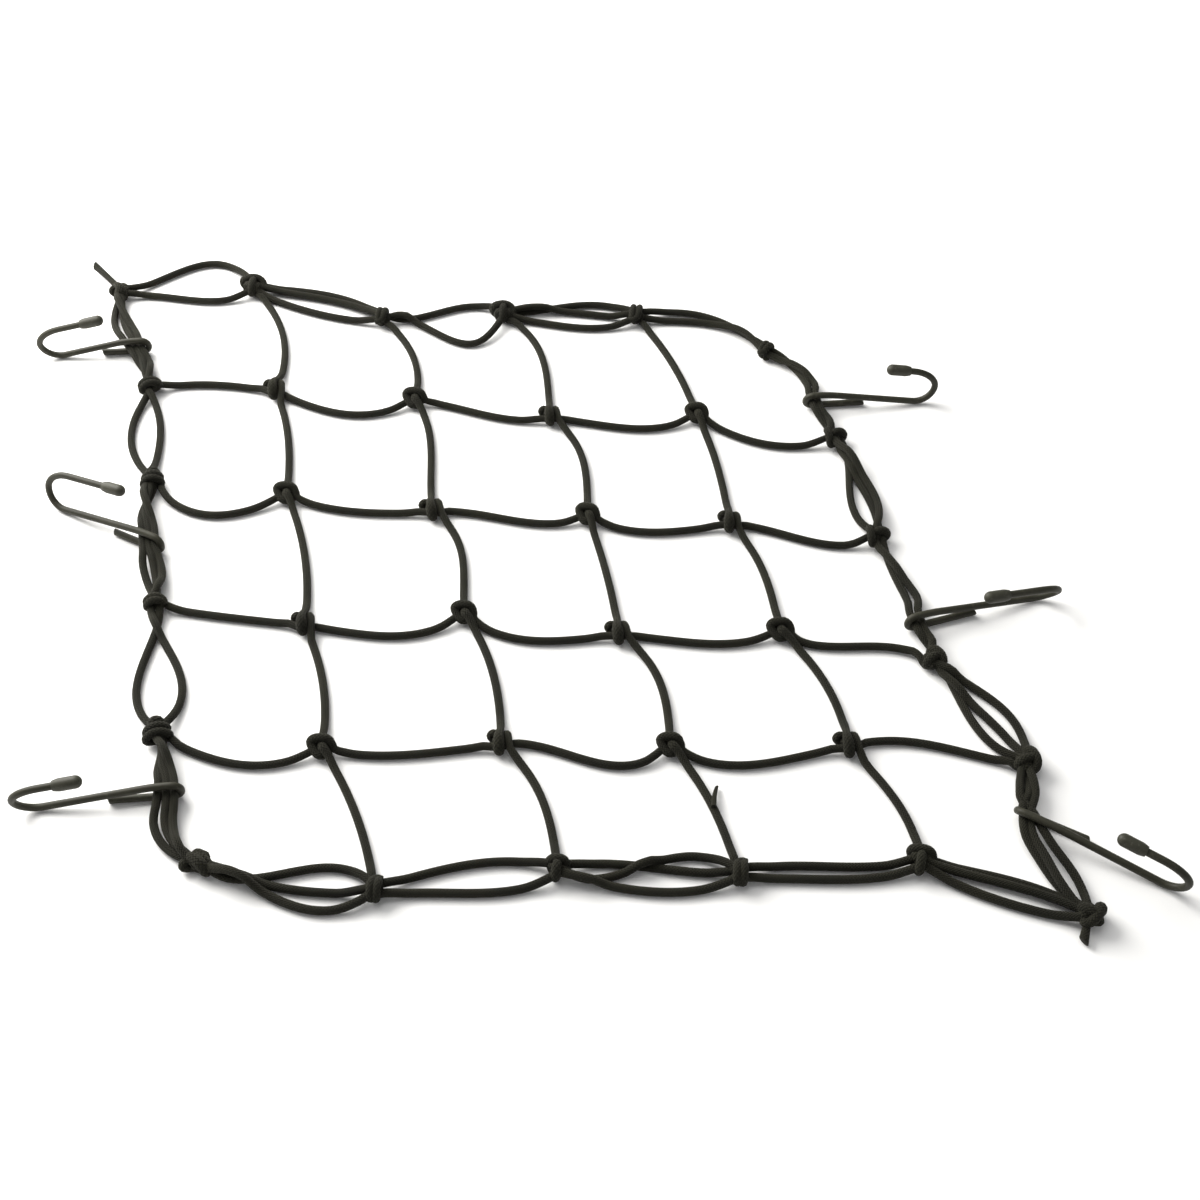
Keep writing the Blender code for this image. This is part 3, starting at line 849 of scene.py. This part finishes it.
def drawnIn(lines):
    # a hook pulls its eye up to the strands, so they lie close together in the end of it
    for hook in hooks.values():
        held = []
        for line in lines:
            out, outBy, backBy = fromEye(line, hook)
            inside = (abs(backBy) < net["eyeHalf"]) & (abs(outBy) < net["eyeSearch"])
            if inside.any():
                held.append((outBy[inside].mean(), line, hump(backBy, net["drawnWidth"])))
        held.sort(key=lambda entry: entry[0])
        aim = net["eyeReach"]
        for number, (reach, line, share) in enumerate(held):
            aim += min(reach - held[number - 1][0], net["gathered"]) if number else 0
            line += ((aim - reach) * share)[:, None] * out


def pushesApart(lines):
    # how far each point of each strand has to move to clear the nearest points of the others
    pushes = [np.zeros_like(line) for line in lines]
    for mine, line in enumerate(lines):
        own = np.arange(len(line))
        for other, beside in enumerate(lines):
            if mine == other:
                continue
            gaps = line[:, None] - beside[None]
            apart = np.linalg.norm(gaps, axis=2)
            nearest = apart.argmin(axis=1)
            reach = apart[own, nearest]
            short = np.clip(net["apart"] - reach, 0, None) / np.maximum(reach, 1e-5) / 2
            pushes[mine] += gaps[own, nearest] * short[:, None]
    return pushes


def layStrands(routes):
    # moves the strands of one stretch apart, until they lie beside or on each other and inside their hook
    lines = [np.array([point[:3] for point in route]) for route in routes]
    drawnIn(lines)
    started = [line.copy() for line in lines]
    pinned, held = [], []
    for line in lines:
        fromEnd = np.minimum(np.arange(len(line)), np.arange(len(line))[::-1]) * net["step"]
        pinned.append(np.clip(fromEnd / net["pinned"], 0, 1))
        held.append(np.array([heldShare(Vector(place[:2])) for place in line]))
    for _ in range(net["layTurns"]):
        for line, push in zip(lines, pushesApart(lines)):
            line += push
        for line, first, loose, hooked in zip(lines, started, pinned, held):
            moved = line - first
            moved[1:-1] = moved[1:-1] / 2 + (moved[:-2] + moved[2:]) / 4  # evens out the moves
            line[:] = first + moved * loose[:, None]
            line[:, 2] = np.maximum(line[:, 2], net["cord"] / 2)
            line[:, 2] += (wire["overLimb"] - line[:, 2]) * hooked ** 2 * loose
            for hook in hooks.values():
                out, outBy, backBy = fromEye(line, hook)
                inside = (abs(backBy) < net["eyeHalf"]) & (abs(outBy) < net["eyeReach"])
                line += np.where(inside, net["eyeReach"] - outBy, 0)[:, None] * out
    for route, line in zip(routes, lines):
        for index, place in enumerate(line):
            route[index] = Vector((*place, route[index].w))
    return routes


def borderRoutes():
    for rows, alongRow in ((acrossBow, True), (alongBow, False)):
        for line in (0, net["cells"]):
            for cell, bows in enumerate(rows[line]):
                ends = ((line, cell), (line, cell + 1)) if alongRow else ((cell, line), (cell + 1, line))
                start, end = (knotPlace(*place) for place in ends)
                below = []
                for bow, (enter, height) in zip(bows, bundles[len(bows)]):
                    heights = (height * mm, height * mm)
                    below.append(strandRoute(start, end, bow, enter * mm, heights, below))
                kind = "row" if alongRow else "column"
                for number, route in enumerate(layStrands(below)):
                    yield f"{kind}_{line}_{cell}_{number}", extended(route, net["hidden"])


def knotWays(spot, direction):
    # how a cord meets the knot at a spot: keep-off, and the heights it comes in and leaves at
    if spot in edgeKnots:
        figure, keepOff, height, aim = knotKinds[edgeKnots[spot][0]]
        return figure, keepOff * mm, (height, height), (aim, aim)
    figure, keepOff, heights, *aims = knotKinds["arched" if sum(spot) % 2 else "stood"][direction]
    return figure, keepOff * mm, heights, aims


def innerRoutes():
    last = net["cells"]
    for rows, direction in ((alongBow, "lengthwise"), (acrossBow, "across")):
        for line in range(1, last):
            spots = [(cell, line) if direction == "lengthwise" else (line, cell) for cell in range(last + 1)]
            ways = [knotWays(spot, direction) for spot in spots]
            runs = []
            for cell in range(last):
                near, far = ways[cell], ways[cell + 1]
                ends = knotPlace(*spots[cell]), knotPlace(*spots[cell + 1])
                heights = near[2][1] * mm, far[2][0] * mm
                runs.append(strandRoute(*ends, rows[line][cell][0], 0.0, heights, (), (near[1], far[1])))
            route = []
            for cell, spot in enumerate(spots):
                figure, _, _, (comesIn, leaves) = ways[cell]
                middle = knotPlace(*spot)
                knot = knotRoute(*spot, figure, *handTied(spot))
                if cell > 0:
                    knot = aimed(knot, middle, runs[cell - 1][-1], comesIn)
                    route += runs[cell - 1]
                if cell == 0:
                    knot = aimed(knot, middle, runs[0][0], leaves)[::-1]
                elif cell < last:
                    knot = aimed(knot[::-1], middle, runs[cell][0], leaves)[::-1]
                route += knot
            yield f"{direction}_{line}", route


def coreRoutes():
    last = net["cells"]
    for row in range(last + 1):
        for column in range(last + 1):
            kind = edgeKnots.get((row, column), ("inner",))[0]
            size = handTied((row, column))[0]
            core = knotRoute(row, column, innerCore if kind == "inner" else edgeCore, size)
            fill = size * coreFill.get(kind, 1.0)
            yield f"core_{row}_{column}", [Vector((*point.xyz, point.w * fill)) for point in core]


def cornerRoutes():
    last = net["cells"]
    for row in (0, last):
        for column in (0, last):
            figure = knotKinds[edgeKnots[row, column][0]][0]
            figure = (tuckedEnd, *figure[1:-1], tuckedEnd)
            yield f"corner_{row}_{column}", knotRoute(row, column, figure, *handTied((row, column)))


def tailRoutes():
    for name, (start, bend, end, thickness, slant) in tails.items():
        points = []
        for place, share in zip((start, bend, end), thickness):
            plan = net["middle"] + Vector(place[:2]) * mm
            points.append(Vector((*plan, place[2] * mm, share)))
        yield name, points, slant


tubeShape = {
    "flat": 1e-5,  # an end's points lie within this of its plane
    "widest": 0.004,  # and within this of its middle
    "sharpAngle": math.radians(50),  # edges that turn more stay sharp
}


def buildTube(name, points, thickness, sides):
    # a closed tube along a route, its UV map in metres along it and turns around it
    curve = bpy.data.curves.new(name, "CURVE")
    curve.dimensions = "3D"
    curve.bevel_depth = thickness / 2
    curve.bevel_resolution = sides // 2 - 2
    curve.use_fill_caps = True
    spline = curve.splines.new("POLY")
    spline.points.add(len(points) - 1)
    lengths = [0.0]
    for point, place in zip(spline.points, points):
        point.co = (*place.xyz, 1)
        point.radius = place.w
    for near, far in zip(points, points[1:]):
        lengths.append(lengths[-1] + (far.xyz - near.xyz).length)
    holder = bpy.data.objects.new(name, curve)
    scene.collection.objects.link(holder)
    mesh = bpy.data.meshes.new_from_object(holder.evaluated_get(bpy.context.evaluated_depsgraph_get()))
    bpy.data.objects.remove(holder)
    uvs = mesh.uv_layers[0].data
    for face in mesh.polygons:
        for corner in face.loop_indices:
            if face.loop_total == 4:
                uvs[corner].uv.x = lengths[round(uvs[corner].uv.x * (len(points) - 1))]
            else:
                uvs[corner].uv = (0, 0)
    return mesh


def cutEnd(shape, end, way, slant, rounding):
    # turns a tube's flat end into a slanted cut with a soft rim
    side = way.cross(up).normalized()

    def onEnd(vertex):
        fromEnd = vertex.co - end
        return abs(fromEnd.dot(way)) < tubeShape["flat"] and fromEnd.length < tubeShape["widest"]

    capped = [face for face in shape.faces if all(onEnd(vertex) for vertex in face.verts)]
    joined = bmesh.ops.dissolve_faces(shape, faces=capped)["region"]
    for vertex in joined[0].verts:
        vertex.co += way * slant * (vertex.co - end).dot(side)
    bmesh.ops.bevel(
        shape, geom=joined[0].edges[:], offset=rounding, offset_type="OFFSET",
        affect="EDGES", segments=2, profile=0.5, material=-1,
    )


def finishPiece(name, shape, finish, node):
    bmesh.ops.recalc_face_normals(shape, faces=shape.faces[:])
    mesh = bpy.data.meshes.new(name)
    shape.to_mesh(mesh)
    shape.free()
    mesh.shade_smooth()
    mesh.set_sharp_from_angle(angle=tubeShape["sharpAngle"])
    mesh.materials.append(finish)
    piece = bpy.data.objects.new(name, mesh)
    scene.collection.objects.link(piece)
    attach(piece, "root")
    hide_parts(node)
    return piece


def buildNet():
    shape = bmesh.new()
    for name, route in (*innerRoutes(), *borderRoutes(), *cornerRoutes(), *coreRoutes()):
        shape.from_mesh(buildTube(name, smoothRoute(route), net["cord"], net["sides"]))
    for name, route, slant in tailRoutes():
        points = smoothRoute(route)
        tail = bmesh.new()
        tail.from_mesh(buildTube(name, points, net["cord"], net["sides"]))
        bmesh.ops.remove_doubles(tail, verts=tail.verts[:], dist=weld)
        way = (points[-1] - points[-2]).xyz.normalized()
        cutEnd(tail, points[-1].xyz, way, slant, net["cutRounding"])
        mesh = bpy.data.meshes.new(name)
        tail.to_mesh(mesh)
        tail.free()
        shape.from_mesh(mesh)
    bmesh.ops.remove_doubles(shape, verts=shape.verts[:], dist=weld)
    piece = finishPiece("cargoNet", shape, finishes["cord"], "net")
    print("  net:", len(piece.data.polygons), "faces")


print("stage: net")
buildNet()

print("stage: hooks and tips")

hookShape = {
    "sides": 16,
    "bendSteps": 22,
    "eyeSteps": 14,
    "cutSlant": 0.45,
    "cutRounding": 0.0004,
}
tipShape = {
    "length": 0.0128,
    "radius": 0.0029,
    "mouthRadius": 0.0024,
    "sleeve": 0.0028,  # from the mouth to where the tip has its full radius
    "swell": (0.55, 0.58),  # share of the sleeve, and how much of the growth in radius lies before it
    "boreDepth": 0.0092,
    "play": 0.0003,  # between the wire and the bore
    "nose": 1.05,  # how long the round nose is, beside the radius
    "noseSteps": 8,
    "lip": 0.0003,  # the mouth's rim is rounded over this length
    "steps": 32,  # round the tip
}


def bendFrame(hook):
    # where the J's bend starts, the way of the shank there, the way that the J opens, and the J's end
    start = hookPoint(hook, hook["reach"] * mm - wire["bend"], 0, wire["bendHeight"])
    way = (start - hookPoint(hook, wire["shankOver"], 0, wire["shankHeight"])).normalized()
    back = hookAxes(hook)[1]
    rise = way.cross(back) if way.cross(back).z > 0 else back.cross(way)
    lean = math.radians(hook["lean"])
    opening = math.cos(lean) * back + math.sin(lean) * rise
    return start, way, opening, start + opening * 2 * wire["bend"] - way * hook["limb"] * mm


def hookRoute(hook):
    start, way, opening, limbEnd = bendFrame(hook)
    crown = math.cos(wire["bendCrown"])
    straight = hook["limb"] * mm - wire["bend"] * (wire["bendStretch"] - 1)
    route = [limbEnd, limbEnd + way * straight / 2]
    for step in range(hookShape["bendSteps"] + 1):
        angle = math.pi * (1 - step / hookShape["bendSteps"])
        outBy = math.sin(angle)
        if angle > math.pi / 2 + wire["bendCrown"]:
            outBy = crown - (crown - outBy) * wire["bendStretch"]
        route.append(start + wire["bend"] * (outBy * way + (1 - math.cos(angle)) * opening))
    kink = hookPoint(hook, wire["shankOver"], 0, wire["shankHeight"])
    inner = hookPoint(hook, wire["eyeDepth"], 0, wire["shankHeight"])
    slope = (start - kink).normalized() * wire["easing"]
    level = (inner - kink).normalized() * wire["easing"]
    # the soft bend between the sloping shank and the level part over the border
    for step in range(wire["easingSteps"] + 1):
        share = step / wire["easingSteps"]
        route.append(kink + slope * (1 - share) ** 2 + level * share ** 2)
    half = (wire["shankHeight"] - wire["limbHeight"]) / 2
    for step in range(hookShape["eyeSteps"] + 1):
        angle = math.pi * step / hookShape["eyeSteps"]
        slip = hook["slip"] * mm * (1 - math.cos(angle)) / 2
        height = wire["limbHeight"] + half * (1 + math.cos(angle))
        route.append(hookPoint(hook, wire["eyeDepth"] * (1 - math.sin(angle)), slip, height))
    first, last = limbEnds(hook)
    route += [first.lerp(last, 0.5), last]
    return route


def buildHook(name, hook):
    route = hookRoute(hook)
    points = [Vector((*place, 1.0)) for place in route]
    shape = bmesh.new()
    shape.from_mesh(buildTube(name, points, wire["thickness"], hookShape["sides"]))
    bmesh.ops.remove_doubles(shape, verts=shape.verts[:], dist=weld)
    way = (route[-1] - route[-2]).normalized()
    cutEnd(shape, route[-1], way, hookShape["cutSlant"], hookShape["cutRounding"])
    finishPiece(f"hook_{name}_wire", shape, finishes["wire"], f"hook_{name}")


def buildTip(name, hook):
    bore = wire["thickness"] / 2 + tipShape["play"]
    full, mouth, lip = tipShape["radius"], tipShape["mouthRadius"], tipShape["lip"]
    shoulder = tipShape["length"] - full * tipShape["nose"]
    swellPlace, swell = tipShape["swell"]
    # distance from the mouth, and radius, from the bottom of the bore round the soft lip and out to the nose
    profile = [
        (tipShape["boreDepth"], 0), (tipShape["boreDepth"], bore), (lip, bore),
        (lip * 0.3, bore + lip * 0.15), (0, (bore + mouth) / 2),
        (lip * 0.3, mouth - lip * 0.1), (lip * 1.4, mouth + lip * 0.1),
        (tipShape["sleeve"] * swellPlace, mouth * (1 - swell) + full * swell),
        (tipShape["sleeve"], full), (shoulder, full),
    ]
    for step in range(1, tipShape["noseSteps"] + 1):
        angle = math.pi / 2 * step / tipShape["noseSteps"]
        radius = full * math.cos(angle) if step < tipShape["noseSteps"] else 0
        profile.append((shoulder + (tipShape["length"] - shoulder) * math.sin(angle), radius))
    shape = bmesh.new()
    line = [shape.verts.new((radius, 0, place)) for place, radius in profile]
    edges = [shape.edges.new(pair) for pair in zip(line, line[1:])]
    bmesh.ops.spin(
        shape, geom=line + edges, axis=(0, 0, 1), cent=(0, 0, 0), dvec=(0, 0, 0),
        angle=math.tau, steps=tipShape["steps"], use_merge=True,
    )
    bmesh.ops.remove_doubles(shape, verts=shape.verts[:], dist=weld)
    _, way, opening, limbEnd = bendFrame(hook)
    place = Matrix.Translation(limbEnd + way * (tipShape["boreDepth"] - tipShape["play"]))
    turned = Matrix((way.cross(opening), opening, -way)).transposed().to_4x4()
    bmesh.ops.transform(shape, matrix=place @ turned, verts=shape.verts[:])
    finishPiece(f"tip_{name}_rubber", shape, finishes["rubber"], f"tip_{name}")


for hookName, hookFacts in hooks.items():
    buildHook(hookName, hookFacts)
    buildTip(hookName, hookFacts)
